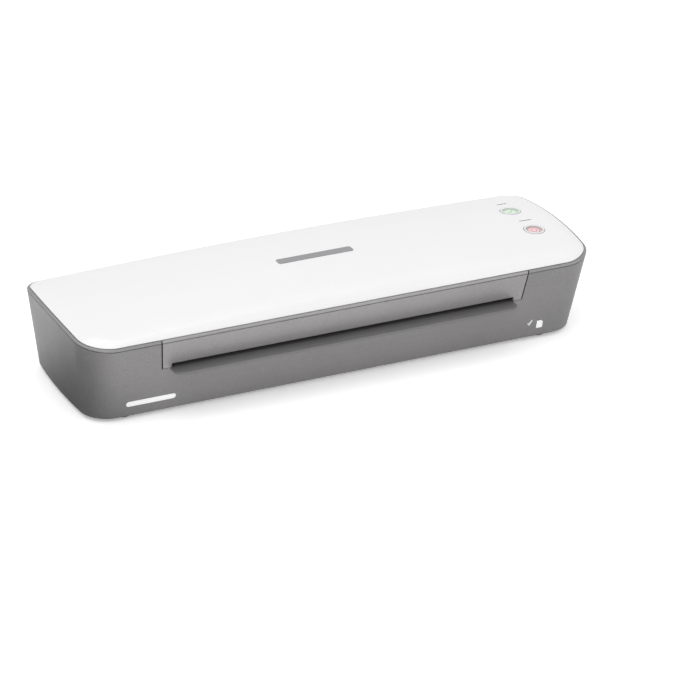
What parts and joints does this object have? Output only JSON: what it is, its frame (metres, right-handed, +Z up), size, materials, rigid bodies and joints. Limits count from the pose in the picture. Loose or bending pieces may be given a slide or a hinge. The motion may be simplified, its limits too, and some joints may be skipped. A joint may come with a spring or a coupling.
{
  "type": "pouch laminator",
  "caption": "Desktop hot-roller pouch laminator: drafted grey tub, crowned white cover, full-width feed slot with a thin shelf, two top buttons and geared rollers inside.",
  "frame": {"origin": "middle of the footprint, from the feed shelf's lip to the rear wall, on the table under the feet", "axes": "+X along the slots towards the buttons, +Y towards the delivery side at the back, +Z up"},
  "size_m": [0.4792, 0.1596, 0.0898],
  "materials": {
    "housing_grey": "silver-grey, fine satin",
    "cover_white": "white, semi-gloss",
    "badge_grey": "satin grey",
    "rubber_dark": "matte",
    "bezel_white": "satin white",
    "lens_red": "translucent pale red",
    "lens_green": "translucent pale green",
    "board_green": "solder mask",
    "switch_black": "matte",
    "led_clear": "clear epoxy",
    "spring_steel": "bright wire",
    "plate_steel": "zinc-plated sheet",
    "bar_steel": "turned",
    "shaft_steel": "ground bright",
    "silicone_orange": "smooth silicone",
    "bush_plastic": "moulded high-temperature plastic",
    "gear_plastic": "moulded acetal",
    "pinion_brass": "cut brass",
    "shoe_aluminium": "extruded",
    "strip_mica": "foil heater between mica sheets",
    "thermo_black": "phenolic",
    "motor_zinc": "plated can",
    "guide_steel": "bent sheet",
    "inlet_black": "matte",
    "pin_brass": "bright",
    "wire_red": "silicone insulation",
    "screw_zinc": "zinc-plated"
  },
  "bodies": {
    "casing": {"lower_housing": "housing_grey", "front_fascia": "housing_grey", "rear_fascia": "housing_grey", "feed_shelf": "housing_grey", "top_cover": "cover_white", "top_badge": "badge_grey", "rubber_feet": "rubber_dark", "button_bezels": "bezel_white", "ready_lens": "lens_green", "control_board": "board_green", "tact_switch": "switch_black", "status_leds": "led_clear", "button_spring": "spring_steel", "right_side_plate": "plate_steel", "left_side_plate": "plate_steel", "tie_bars": "bar_steel", "lower_bushes": "bush_plastic", "pressure_springs": "spring_steel", "spring_retainers": "plate_steel", "idler_stud": "bar_steel", "idler_clip": "spring_steel", "drive_motor": "motor_zinc", "motor_standoffs": "bar_steel", "lower_heater_shoe": "shoe_aluminium", "upper_heater_shoe": "shoe_aluminium", "heater_strips": "strip_mica", "thermostat_switch": "thermo_black", "thermal_fuse": "pin_brass", "upper_entry_guide": "guide_steel", "upper_exit_guide": "guide_steel", "lower_exit_guide": "guide_steel", "mains_inlet": "inlet_black", "inlet_pins": "pin_brass", "wire_harness": "wire_red", "cover_screws": "screw_zinc", "chassis_screws": "screw_zinc", "heater_screws": "screw_zinc", "motor_screws": "screw_zinc", "board_screws": "screw_zinc"},
    "power_button": {"power_button": "lens_red"},
    "roller_carriage": {"upper_bushes": "bush_plastic"},
    "lower_roller": {"lower_roller_core": "shaft_steel", "lower_roller_sleeve": "silicone_orange", "lower_roller_gear": "gear_plastic", "lower_roller_clips": "spring_steel"},
    "upper_roller": {"upper_roller_core": "shaft_steel", "upper_roller_sleeve": "silicone_orange", "upper_roller_gear": "gear_plastic", "upper_roller_clips": "spring_steel"},
    "idler": {"idler_gear": "gear_plastic"},
    "motor_rotor": {"motor_shaft": "shaft_steel", "motor_pinion": "pinion_brass"}
  },
  "joints": [
    {"name": "power_button_press", "type": "slide", "parent": "casing", "child": "power_button", "axis": [-0.0407, 0.0246, -0.9989], "range_m": [0, 0.0012], "deforming": ["button_spring"]},
    {"name": "roller_lift", "type": "slide", "parent": "casing", "child": "roller_carriage", "axis": [0, 0, 1], "range_m": [0, 0.0008], "deforming": ["pressure_springs"]},
    {"name": "lower_roller_spin", "type": "hinge", "parent": "casing", "child": "lower_roller", "pos_m": [0, 0.008, 0.03545], "axis": [1, 0, 0], "continuous": true},
    {"name": "upper_roller_spin", "type": "hinge", "parent": "roller_carriage", "child": "upper_roller", "pos_m": [0, 0.008, 0.05955], "axis": [1, 0, 0], "continuous": true},
    {"name": "idler_spin", "type": "hinge", "parent": "casing", "child": "idler", "pos_m": [0.175, 0.02872, 0.02791], "axis": [1, 0, 0], "continuous": true},
    {"name": "motor_spin", "type": "hinge", "parent": "casing", "child": "motor_rotor", "pos_m": [0.18, 0.04551, 0.03087], "axis": [1, 0, 0], "continuous": true}
  ],
  "couplings": [
    {"joint": "upper_roller_spin", "follows": "lower_roller_spin", "ratio": -1},
    {"joint": "idler_spin", "follows": "lower_roller_spin", "ratio": -1.2},
    {"joint": "motor_spin", "follows": "lower_roller_spin", "ratio": 1.7143}
  ]
}
